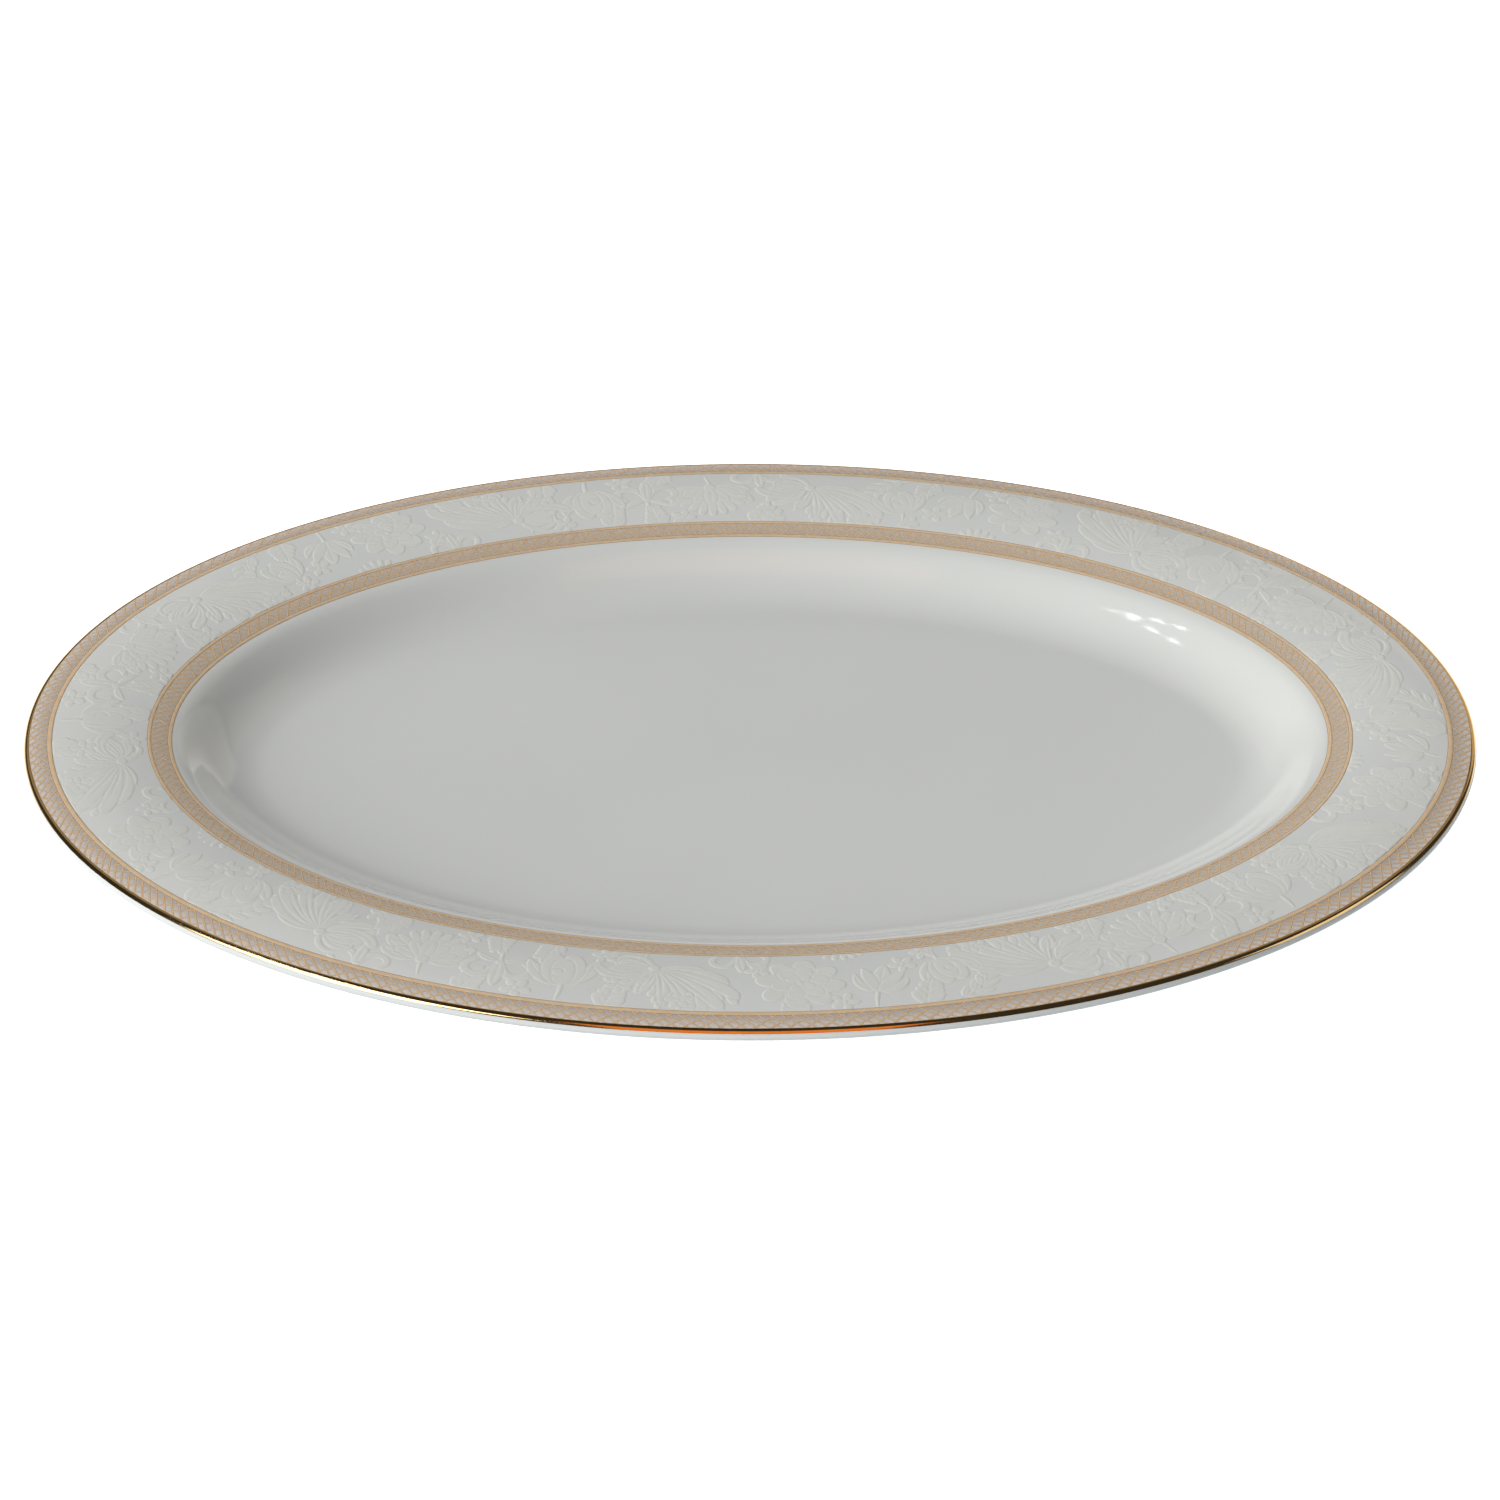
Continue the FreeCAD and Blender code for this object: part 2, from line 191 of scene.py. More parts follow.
def new_piece(name, points, faces, sharp=SHARP):
    """Make a smooth-shaded mesh object whose edges sharper than an angle stay sharp."""
    mesh = bpy.data.meshes.new(name)
    mesh.from_pydata([tuple(point) for point in points], [], faces)
    mesh.update()
    piece = bpy.data.objects.new(name, mesh)
    bpy.context.scene.collection.objects.link(piece)
    mesh.polygons.foreach_set("use_smooth", [True] * len(mesh.polygons))
    mesh.set_sharp_from_angle(angle=sharp)
    return piece


def sweep(name, section, hub=None):
    """Carry a section round the lip's ellipse.

    The section is a list of (distance, height). It closes on itself, unless hub names the distance
    from which its two ends are drawn in to the platter's axis as flat discs.
    """
    angle = np.interp(np.arange(RING_STEPS) / RING_STEPS * PERIMETER, RIM_LENGTH, RIM_ANGLE)
    rings = []
    for distance, height in section:
        x, y = ellipse_at(angle, distance)
        rings.append(np.stack([x, y, np.full_like(x, height)], -1))
    if hub is not None:
        rings = disc_rings(rings[0])[::-1] + rings + disc_rings(rings[-1])
    points = list(np.concatenate(rings) * MM)
    count = len(rings)
    faces = []
    last = count if hub is None else count - 1
    for row in range(last):
        below = row * RING_STEPS
        above = (row + 1) % count * RING_STEPS
        for step in range(RING_STEPS):
            after = (step + 1) % RING_STEPS
            faces.append((below + step, below + after, above + after, above + step))
    if hub is not None:
        for ring, order in ((0, -1), (count - 1, 1)):
            centre = len(points)
            points.append(np.array([0, 0, rings[ring][0][2]]) * MM)
            for step in range(RING_STEPS):
                pair = (ring * RING_STEPS + step, ring * RING_STEPS + (step + 1) % RING_STEPS)
                faces.append(pair[::order] + (centre,))
    return new_piece(name, points, faces)


# How far the rings of a flat disc are from its centre, as shares of its outer ring.
DISC_SCALES = (0.93, 0.84, 0.72, 0.58, 0.42, 0.26, 0.12)


def disc_rings(ring):
    """Rings that shrink from a flat ring towards the platter's axis."""
    return [ring * np.array([scale, scale, 1]) for scale in DISC_SCALES]


def wall_points(depth, steps):
    """The well's wall from the cove up to the shoulder, without its ends."""
    slopes = WALL_EASE + (WALL_PEAK - WALL_EASE) * (1 - np.abs(np.linspace(-1, 1, steps + 1)))
    middles = (slopes[1:] + slopes[:-1]) / 2
    leap = math.hypot(*WALL_RUN) / np.hypot(np.cos(middles).sum(), np.sin(middles).sum())
    distance = COVE_CENTRE[0] - COVE_RADIUS * math.sin(WALL_EASE) - np.cumsum(leap * np.cos(middles))
    height = COVE_CENTRE[1] - COVE_RADIUS * math.cos(WALL_EASE) + np.cumsum(leap * np.sin(middles))
    distance = distance - depth * np.sin(slopes[1:])
    height = height - depth * np.cos(slopes[1:])
    return list(zip(distance, height))[:-1]


def skin_section(depth):
    """The upper surface from the floor over the lip to the foot ring, a depth under the glaze."""
    rim = math.asin(SIN_RIM)
    lip = math.asin(SIN_LIP)
    half_turn = math.pi
    fillet_turn = math.atan2(COVE_CENTRE[0] - FILLET_CENTRE[0], COVE_CENTRE[1] - FILLET_CENTRE[1])
    fine = 1 if depth == 0 else 3
    return (
        arc(COVE_CENTRE, COVE_RADIUS + depth, half_turn, half_turn + WALL_EASE, 24 // fine)
        + wall_points(depth, 24 // fine)
        + arc(SHOULDER_CENTRE, SHOULDER_RADIUS - depth, WALL_EASE, rim, 18 // fine)
        + arc(RIM_CENTRE, RIM_RADIUS - depth, rim, -lip, 36 // fine)[1:]
        + arc(LIP_CENTRE, LIP_RADIUS - depth, -lip, -lip - half_turn, 24 // fine)[1:]
        + arc(RIM_CENTRE, RIM_RADIUS - WALL_THICKNESS + depth, -lip, rim, 24 // fine)[1:]
        + arc(SHOULDER_CENTRE, SHOULDER_RADIUS - WALL_THICKNESS + depth, rim, WALL_SLOPE, 12 // fine)[1:]
        + arc(COVE_CENTRE, COVE_RADIUS + WALL_THICKNESS - depth, half_turn + WALL_SLOPE,
              half_turn + fillet_turn, 18 // fine)
        + arc(FILLET_CENTRE, FOOT_FILLET + depth, fillet_turn, math.pi / 2, 9 // fine)[1:]
        + [(FOOT_DISTANCE + depth, GLAZE_STOP)]
    )


def hollow_section(depth):
    """The base glaze from the foot ring's inner face to the recess, a depth under the surface."""
    return [(HOLLOW_CENTRE[0] - RECESS_FILLET - depth, GLAZE_STOP)] + arc(
        HOLLOW_CENTRE, RECESS_FILLET + depth, -math.pi / 2, 0, 10)


def make_upper_glaze():
    """The glossy skin over the well, rim, lip and underside."""
    section = skin_section(0) + skin_section(GLAZE)[::-1]
    piece = sweep("glazed_porcelain", section, hub=COVE_CENTRE[0])
    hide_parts("upper_glaze")
    return piece


def make_base_glaze():
    """The glossy skin of the recessed base."""
    section = hollow_section(0)[::-1] + hollow_section(GLAZE)
    piece = sweep("glazed_base", section, hub=HOLLOW_CENTRE[0])
    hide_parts("base_glaze")
    return piece


# ---------------------------------------------------------------- gilding and printed strips
GILT_FILM = 0.05
GROUND_FILM = 0.012
LINE_HEIGHT = 0.07
STRAND_HEIGHT = 0.06
STRAND_WIDTH = 0.36
LINE_CROWN = 0.2
# Painted shade: a dark brown film, wider by this much on each side, lies under every gold line and strand.
EDGE_SHADE_WIDTH = 0.09
EDGE_SHADE_HEIGHT = 0.03


def make_gilt_edge():
    """Burnished gold round the lip, thinning out at both edges."""
    lip = math.asin(SIN_LIP)
    start = math.asin((OUTER_LATTICE[0] - CROWN_DISTANCE) / RIM_RADIUS)
    end = -(math.pi / 2 - GILT_ANGLE)
    outer = (
        arc(RIM_CENTRE, RIM_RADIUS + GILT_FILM, start, -lip, 4)
        + arc(LIP_CENTRE, LIP_RADIUS + GILT_FILM, -lip, end, 12)[1:]
    )
    inner = (
        arc(RIM_CENTRE, RIM_RADIUS - GILT_FILM, start, -lip, 4)
        + arc(LIP_CENTRE, LIP_RADIUS - GILT_FILM, -lip, end, 12)[1:]
    )
    piece = sweep("gilt_lip", outer + inner[::-1])
    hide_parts("gilt_edge")
    return piece


def rim_point(distance, lift):
    """A point of the section above the rim's glaze."""
    tilt = (distance - CROWN_DISTANCE) / RIM_RADIUS
    return distance + lift * tilt, RIM_CENTRE[1] + (RIM_RADIUS + lift) * math.sqrt(1 - tilt ** 2)


def make_line(name, span, node):
    """A solid gold line, raised like dried paste, inset so that painted shade shows along both its edges."""
    start, end = span[0] + EDGE_SHADE_WIDTH, span[1] - EDGE_SHADE_WIDTH
    across = np.linspace(start + EDGE_SHADE_WIDTH, end - EDGE_SHADE_WIDTH, 5)
    middle = (start + end) / 2
    half = (end - start) / 2
    lifts = LINE_HEIGHT * (1 - LINE_CROWN * ((across - middle) / half) ** 2)
    section = [rim_point(start, -LINE_HEIGHT), rim_point(start, 0)]
    section += [rim_point(distance, lift) for distance, lift in zip(across, lifts)]
    section += [rim_point(end, 0), rim_point(end, -LINE_HEIGHT)]
    piece = sweep(name, section[::-1])
    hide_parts(node)
    return piece


def flat_section(across, film):
    """The closed section of a flat film that lies half in and half out of the rim's glaze."""
    top = [rim_point(distance, film) for distance in across]
    base = [rim_point(distance, -film) for distance in across[::-1]]
    return (top + base)[::-1]


def make_edge_shade(name, span, node):
    """Painted shade: a flat brown film that shows as a thin dark edge on both sides of a gold line."""
    piece = sweep(name, flat_section(np.linspace(span[0], span[1], 4), EDGE_SHADE_HEIGHT))
    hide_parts(node)
    return piece


def make_ground(name, span, node):
    """The tinted print under a lattice, with a coordinate across the band for its ramp of painted light."""
    steps = 6
    piece = sweep(name, flat_section(np.linspace(span[0], span[1], steps), GROUND_FILM))
    layer = piece.data.uv_layers.new(name="band")
    rows = list(range(steps)) + list(range(steps - 1, -1, -1))
    for loop in piece.data.loops:
        ring, step = divmod(loop.vertex_index, RING_STEPS)
        layer.data[loop.index].uv = (step / RING_STEPS, rows[::-1][ring] / (steps - 1))
    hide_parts(node)
    return piece


# A strand's section, in shares of its half width and of its height.
STRAND_PROFILE = ((-1.0, 0.0), (-0.6, 0.8), (0.0, 1.0), (0.6, 0.8), (1.0, 0.0))
# How many strands of a period lean each way: three one way, and two the other.
STRAND_FAMILIES = ((3, 1), (2, -1))


def strand_mesh(along, distance, width, height):
    """Points and faces of one raised strand that follows a line on the rim."""
    direction = np.array([along[-1] - along[0], distance[-1] - distance[0]])
    direction /= np.linalg.norm(direction)
    side = np.array([-direction[1], direction[0]]) * width / 2
    points = []
    for out, up in STRAND_PROFILE:
        points.append(on_rim(along + side[0] * out, distance + side[1] * out, height * up))
    points = np.stack(points, 1)
    rows, columns = points.shape[:2]
    faces = []
    for row in range(rows - 1):
        for column in range(columns):
            right = (column + 1) % columns
            near = row * columns
            far = near + columns
            faces.append((near + column, near + right, far + right, far + column))
    faces.append(tuple(range(columns))[::-1])
    faces.append(tuple((rows - 1) * columns + column for column in range(columns)))
    return points.reshape(-1, 3), faces


def make_lattice(name, span, node, periods, run, width, height):
    """Crossed strands: three a period leaning one way and two a period leaning the other.

    They are evenly spaced along the band's own middle line. Run is how far a strand goes along that
    line while it crosses the band.
    """
    angle, length = length_table(sum(span) / 2)
    points = []
    faces = []
    share = np.linspace(0, 1, 5)
    for per_period, lean in STRAND_FAMILIES:
        count = per_period * periods
        for strand in range(count):
            own = (strand / count + lean * run * share / length[-1]) % 1
            along = np.interp(np.interp(own * length[-1], length, angle), RIM_ANGLE, RIM_LENGTH)
            along = np.unwrap(along, period=PERIMETER)
            distance = span[1] + (span[0] - span[1]) * share
            new_points, new_faces = strand_mesh(along, distance, width, height)
            offset = len(points)
            points.extend(new_points)
            faces.extend(tuple(offset + corner for corner in face) for face in new_faces)
    piece = new_piece(name, points, faces)
    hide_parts(node)
    return piece


# ---------------------------------------------------------------- the damask relief
# Widths are in millimetres. Levels count the relief's usual height as 1.
RELIEF = 0.10
CELL = 0.25
HIDDEN = -0.5
BEVEL = 0.5
STROKE_MARGIN = 0.6
VEIN_WIDTH = 0.2
CUT_LEVEL = 0.05
# Veins and engraved lines die out towards their tips: the higher, the later.
LINE_FALL = 4
# The groove round a stroke, and a level that no motif reaches.
GROOVE_WIDTH = 0.35
GROOVE_LEVEL = 0.25
TOP_LEVEL = 2.2


class Canvas:
    """A height field over the band: rows go in from its outer border, columns go along the rim."""

    def __init__(self, length, width):
        self.columns = int(round(length / CELL))
        self.rows = int(round(width / CELL))
        self.step_x = length / self.columns
        self.step_y = width / self.rows
        self.level = np.full((self.rows + 1, self.columns), HIDDEN)

    def window(self, xs, ys, margin):
        """The rows and columns of the canvas that a shape can reach."""
        first = int(math.floor((min(xs) - margin) / self.step_x))
        last = int(math.ceil((max(xs) + margin) / self.step_x))
        low = max(int(math.floor((min(ys) - margin) / self.step_y)), 0)
        high = min(int(math.ceil((max(ys) + margin) / self.step_y)), self.rows)
        columns = np.arange(first, last + 1)
        rows = np.arange(low, high + 1)
        return rows, columns

    def reach(self, xs, ys, half):
        """How far each place of the window lies inside a stroke, and how far from its spine."""
        rows, columns = self.window(xs, ys, max(half) + STROKE_MARGIN)
        if len(rows) == 0:
            return None
        from_x = (columns * self.step_x)[None, :, None] - xs[:-1]
        from_y = (rows * self.step_y)[:, None, None] - ys[:-1]
        run_x, run_y = np.diff(xs), np.diff(ys)
        along = (from_x * run_x + from_y * run_y) / np.maximum(run_x ** 2 + run_y ** 2, 1e-9)
        along = np.clip(along, 0, 1)
        away = np.hypot(from_x - along * run_x, from_y - along * run_y)
        inside = half[:-1] + along * np.diff(half) - away
        nearest = np.argmin(away, -1)
        share = (nearest + np.take_along_axis(along, nearest[..., None], -1)[..., 0]) / (len(xs) - 1)
        return rows, columns, inside.max(-1), away.min(-1), share

    def paint(self, xs, ys, half, height=1.0, vein=0.0, merge=False, fade=0.0):
        """Lay a stroke over the relief. Unless it merges, a groove runs round it."""
        found = self.reach(xs, ys, half)
        if found is None:
            return
        rows, columns, inside, away, share = found
        ramp = np.clip(inside / BEVEL, HIDDEN, 1)
        own = np.where(ramp > 0, 1 - (1 - ramp) ** 2, 2 * ramp) * height * (1 - fade * (1 - share))
        if vein:
            groove = vein * np.exp(-(away / VEIN_WIDTH) ** 2) * np.clip(LINE_FALL * (1 - share), 0, 1)
            own = own - np.where(ramp > 0, groove, 0)
        place = np.ix_(rows, columns % self.columns)
        under = self.level[place]
        if not merge:
            floor = GROOVE_LEVEL * height
            clear = np.clip(-inside / GROOVE_WIDTH, 0, 1)
            under = np.minimum(under, floor + clear * (TOP_LEVEL - floor))
        self.level[place] = np.maximum(own, under)

    def cut(self, xs, ys, width, depth):
        """Engrave a line into the relief."""
        found = self.reach(xs, ys, np.full(len(xs), width))
        if found is None:
            return
        rows, columns, _, away, share = found
        place = np.ix_(rows, columns % self.columns)
        under = self.level[place]
        groove = depth * np.exp(-(away / width) ** 2) * np.clip(LINE_FALL * (1 - share), 0, 1)
        self.level[place] = np.where(under > 0, np.maximum(under - groove, CUT_LEVEL), under)


SPINE_STEPS = 12
THINNEST = 0.05  # half the width of a stroke at its very tip


class Pen:
    """Draws on the canvas with a motif's own place, heading, size and hand."""

    def __init__(self, canvas, x, y, turn=0.0, size=1.0, flip=1):
        self.canvas = canvas
        self.x = x
        self.y = y
        self.turn = math.radians(turn)
        self.size = size
        self.flip = flip

    def place(self, x, y):
        """Turn the motif's own coordinates into the canvas's."""
        across = np.asarray(x) * self.flip
        cosine, sine = math.cos(self.turn), math.sin(self.turn)
        return (self.x + self.size * (across * cosine - y * sine),
                self.y + self.size * (across * sine + y * cosine))

    def spine(self, x, y, heading, bend, length, curl):
        """Points along a curve that starts at (x, y) and turns from its heading by the bend."""
        share = np.linspace(0, 1, SPINE_STEPS + 1)
        middle = (share[1:] + share[:-1]) / 2
        angles = np.radians(heading + bend * middle ** curl)
        leap = length / SPINE_STEPS
        xs = x + np.concatenate([[0], np.cumsum(np.cos(angles) * leap)])
        ys = y + np.concatenate([[0], np.cumsum(np.sin(angles) * leap)])
        return share, xs, ys

    def stroke(self, x, y, heading, bend, length, width, shape=(0.7, 0.45), curl=1.0, **style):
        """Draw a leaf-like stroke that swells and tapers as its shape says."""
        share, xs, ys = self.spine(x, y, heading, bend, length, curl)
        rise, fall = shape
        peak = rise / (rise + fall)
        swell = share ** rise * (1 - share) ** fall / (peak ** rise * (1 - peak) ** fall)
        half = np.maximum(width / 2 * swell, THINNEST) * self.size
        self.canvas.paint(*self.place(xs, ys), half, **style)

    def line(self, x, y, heading, bend, length, width=0.2, depth=0.55, curl=1.0):
        """Engrave a curved line."""
        _, xs, ys = self.spine(x, y, heading, bend, length, curl)
        self.canvas.cut(*self.place(xs, ys), width, depth)

    def dot(self, x, y, radius, **style):
        """Draw a round boss."""
        spot = self.place(np.array([x, x + 0.01]), np.array([y, y]))
        self.canvas.paint(*spot, np.full(2, radius * self.size), **style)


# Outlines of strokes: how gently they swell from the root, and how gently they close at the tip.
PLUME = (0.80, 0.30)
PETAL = (0.60, 0.30)
LEAF = (0.60, 0.75)
STEM = (0.10, 0.35)
BUD = (0.45, 0.60)
ROUND = (0.35, 0.30)
CUP = (0.55, 0.40)
SCROLL = (0.12, 0.22)


def frond(pen, x, y, heading, bend, length, width, side=1):
    """A plume that broadens and breaks into lobes towards its tip."""
    for index, reach in enumerate((0.55, 0.72, 0.88)):
        _, xs, ys = pen.spine(x, y, heading, bend, length * reach, 1.3)
        here = heading + bend * reach ** 1.3
        for edge, share in ((side, 1.0), (-side, 0.7)):
            pen.stroke(xs[-1], ys[-1], here + edge * (58 - 14 * index), -edge * 34,
                       width * share * (0.95 - 0.10 * index), width * 0.48, PETAL, merge=index > 0)
    pen.stroke(x, y, heading, bend, length, width * 0.82, PLUME, curl=1.3)
    pen.line(x, y, heading, bend, length * 0.86, curl=1.3)
    pen.line(x, y, heading + 4, bend - 6, length * 0.66, width=0.16, depth=0.4, curl=1.3)


def palmette(pen):
    """A broad leaf of long plumes on one side of its root, and arching leaves on the other."""
    for heading, bend, length in ((-30, 64, 9.0), (-6, 84, 11.5), (84, -76, 13.0), (20, 62, 13.0)):
        pen.stroke(0.8, 0.2, heading, bend, length, 3.1, PLUME, curl=1.4, vein=0.5)
    pen.stroke(0.6, 0.4, 64, -118, 16.5, 3.4, PLUME, curl=1.2, vein=0.5)
    fan = (
        (100, -34, 10.5, 3.2), (212, -60, 13.0, 3.8), (122, -24, 15.0, 4.2), (196, -50, 19.0, 4.6),
        (142, -26, 19.5, 4.6), (178, -40, 24.0, 5.0), (160, -32, 23.5, 5.0),
    )
    for heading, bend, length, width in fan:
        frond(pen, -0.5, 0.4, heading, bend, length, width, side=-1)
    pen.stroke(0.8, -0.8, -62, 190, 15.0, 1.8, STEM, curl=1.3)
    pen.dot(0, 0, 1.5, height=1.3)


def lotus(pen):
    """A flower head seen from the side: a fringe of narrow petals over a cup of broad ones."""
    for side in (-1, 1):
        pen.stroke(side * 1.2, -3.6, 90 - side * 78, side * 46, 9.8, 3.2, PETAL, vein=0.5)
        pen.stroke(side * 1.0, -4.4, 90 - side * 112, side * 70, 8.4, 2.6, PETAL, vein=0.5)
    for index in (0, 10, 1, 9, 2, 8, 3, 7, 4, 6, 5):
        angle = 2 + 17.6 * index
        reach = 8.4 + 1.0 * math.sin(math.radians(angle))
        pen.stroke(0, -2.6, angle, 4 * (index - 5) / 5, reach, 2.25, PETAL, fade=0.3)
    for index in (0, 4, 1, 3, 2):
        angle = 26 + 32 * index
        pen.stroke(0, -4.2, angle, 10 * (index - 2) / 2, 6.4, 3.4, CUP, vein=0.4, fade=0.3)
    pen.stroke(0, -4.8, 272, 14, 5.2, 1.0, STEM)
    pen.dot(0, -4.4, 1.5, height=1.2)


def around(angle, half_width, half_height):
    """A point of an oval round the motif's own centre, at an angle in degrees."""
    return half_width * math.cos(math.radians(angle)), half_height * math.sin(math.radians(angle))


def peony(pen):
    """A full flower of overlapping rounded petals."""
    for angle in range(22, 382, 45):
        pen.stroke(*around(angle, 1.2, 1.0), angle, 10, 6.6, 5.0, ROUND, vein=0.3, fade=0.25)
    for angle in range(8, 368, 60):
        pen.stroke(*around(angle, 0.5, 0.4), angle, -12, 4.7, 3.8, ROUND, fade=0.35)
    for angle in range(35, 395, 90):
        pen.stroke(0, 0, angle, 30, 2.8, 2.4, ROUND, fade=0.4, height=1.1)
    pen.dot(0, 0, 0.8, height=1.3)


def rose(pen):
    """A half-closed rose between two long sepals."""
    for side in (-1, 1):
        pen.stroke(side * 0.5, -3.4, 90 - side * 62, side * 50, 10.5, 3.6, LEAF, vein=0.5)
    pen.stroke(-0.6, -3.0, 112, -30, 8.6, 5.2, ROUND, fade=0.3)
    pen.stroke(0.6, -3.0, 68, 30, 8.6, 5.2, ROUND, fade=0.3)
    pen.stroke(0, -2.8, 90, 0, 6.8, 4.8, ROUND, fade=0.3)
    pen.line(0.1, 0.4, 60, 320, 6.6, width=0.24, depth=0.7, curl=0.8)
    pen.stroke(0, -3.4, 268, -18, 5.0, 1.1, STEM)


def tulip(pen):
    """A bud with a tall middle petal and two that fold outwards."""
    for side in (-1, 1):
        pen.stroke(side * 0.8, -0.6, 90 - side * 74, side * 70, 7.4, 2.2, LEAF, vein=0.4)
    pen.stroke(0, 0, 90, 0, 8.4, 3.8, BUD, vein=0.5)
    for side in (-1, 1):
        pen.stroke(side * 0.3, -0.6, 90 - side * 24, -side * 6, 8.6, 3.0, LEAF, fade=0.2)
    pen.stroke(0, -0.6, 270, 14, 5.4, 1.0, STEM)


def trefoil(pen):
    """Two scrolls and a bud that spring from one stem."""
    for side in (-1, 1):
        pen.stroke(side * 0.3, -0.5, 90 - side * 4, -side * 280, 15.5, 2.3, SCROLL, curl=1.5)
        pen.stroke(side * 0.5, -0.9, 90 - side * 96, -side * 46, 6.0, 2.0, LEAF, vein=0.4)
    pen.stroke(0, 0.4, 90, 0, 7.6, 3.2, BUD, vein=0.5)
    pen.stroke(0, -0.6, 268, 20, 5.6, 1.1, STEM)
    pen.dot(0, -0.4, 1.1, height=1.15)


def blossom(pen):
    """A small five-petalled flower."""
    for index in range(5):
        pen.stroke(0, 0, 90 + 72 * index, 0, 2.5, 1.9, PETAL)
    pen.dot(0, 0, 0.62, height=1.25)


def leaf(pen):
    """A toothed leaf on a short stem."""
    pen.stroke(0, 0, 90, 8, 4.4, 0.8, STEM)
    for index in range(4):
        root = (0.1 * index, 2.4 + 1.9 * index)
        length = 4.2 - 0.7 * index
        for side in (-1, 1):
            pen.stroke(*root, 90 - side * 50, side * 26, length, 1.9, PETAL, merge=True)
    pen.stroke(0, 1.6, 90, 6, 10.0, 3.4, LEAF, merge=True)
    pen.line(0, 1.6, 90, 6, 9.0)
    for index in range(3):
        length = 3.0 - 0.5 * index
        for side in (-1, 1):
            pen.line(0.1, 3.0 + 1.9 * index, 90 - side * 46, side * 16, length, width=0.16, depth=0.4)


def spray(pen):
    """A curved stem with leaflets on both sides."""
    _, xs, ys = pen.spine(0, 0, 40, 70, 16, 1.0)
    pen.stroke(0, 0, 40, 70, 16, 0.9, STEM, merge=True)
    for index in (2, 4, 6, 8, 10):
        share = index / SPINE_STEPS
        heading = 40 + 70 * share
        length = 5.0 - 1.8 * share
        for side in (-1, 1):
            root = (xs[index], ys[index])
            pen.stroke(*root, heading + side * 50, -side * 30, length, 1.9, LEAF, vein=0.3)
    pen.stroke(xs[11], ys[11], 106, 10, 4.0, 1.8, LEAF, vein=0.3)


# The relief's repeat: motif, along, in from the border, turn, size and hand.
REPEATS = 5
REPEAT_LENGTH = 172.0
DRAWING = (
    (spray, 1.0, 0.0, -24, 1.10, 1),
    (leaf, 43.0, 27.0, 160, 1.25, 1),
    (trefoil, 41.0, 0.5, 8, 0.90, 1),
    (leaf, 64.0, -4.0, -22, 1.20, 1),
    (leaf, 67.0, 27.5, 190, 1.20, 1),
    (spray, 19.0, -2.5, 74, 0.85, -1),
    (leaf, 82.5, 27.0, 168, 1.20, 1),
    (leaf, 96.5, -3.5, -12, 1.25, 1),
    (spray, 104.5, 23.5, 212, 1.05, 1),
    (trefoil, 126.5, 23.2, 186, 0.95, 1),
    (lotus, 151.0, 26.0, 182, 0.88, 1),
    (leaf, 139.5, -4.5, 8, 1.15, 1),
    (leaf, 166.5, -3.0, -16, 1.20, 1),
    (leaf, 122.0, -3.5, 14, 1.10, 1),
    (palmette, 27.5, 7.6, -12, 1.00, 1),
    (lotus, 53.0, 12.5, 6, 1.14, 1),
    (trefoil, 70.5, 11.5, 182, 1.06, 1),
    (rose, 86.0, 11.0, 8, 1.20, 1),
    (palmette, 106.5, 16.0, 170, 0.98, 1),
    (peony, 141.0, 10.5, 10, 1.12, 1),
    (tulip, 157.5, 6.5, -16, 1.15, 1),
    (rose, 2.0, 13.5, 196, 1.05, 1),
    (blossom, 36.5, 21.2, 0, 1.20, 1),
    (blossom, 61.0, 20.8, 20, 1.20, 1),
    (blossom, 77.5, 3.2, 40, 1.20, 1),
    (blossom, 94.5, 20.0, 10, 1.15, 1),
    (blossom, 171.0, 21.0, 15, 1.10, 1),
    (blossom, 99.0, 8.0, 30, 1.15, 1),
    (blossom, 113.5, 4.0, 12, 1.10, 1),
    (blossom, 150.0, 3.0, 50, 1.15, 1),
    (blossom, 130.5, 16.5, 22, 1.10, 1),
    (blossom, 165.0, 16.0, 30, 1.20, 1),
    (blossom, 11.0, 20.5, 44, 1.10, 1),
)


def draw_damask():
    """Draw the repeats one after another round the rim, each motif a little off its place."""
    canvas = Canvas(PERIMETER, DAMASK[1] - DAMASK[0])
    step = PERIMETER / REPEATS
    chance = np.random.default_rng(12)
    for repeat in range(REPEATS):
        for motif, along, inward, turn, size, flip in DRAWING:
            x = repeat * step + along * step / REPEAT_LENGTH + chance.uniform(-0.5, 0.5)
            y = inward + chance.uniform(-0.4, 0.4)
            turned = turn + chance.uniform(-4, 4)
            motif(Pen(canvas, x, y, turned, size * chance.uniform(0.97, 1.05), flip))
    canvas.level[0] = HIDDEN
    canvas.level[-1] = HIDDEN
    return canvas


RELIEF_BACK = -0.15
BACK_ROWS = 4
RELIEF_SHARP = math.radians(75)


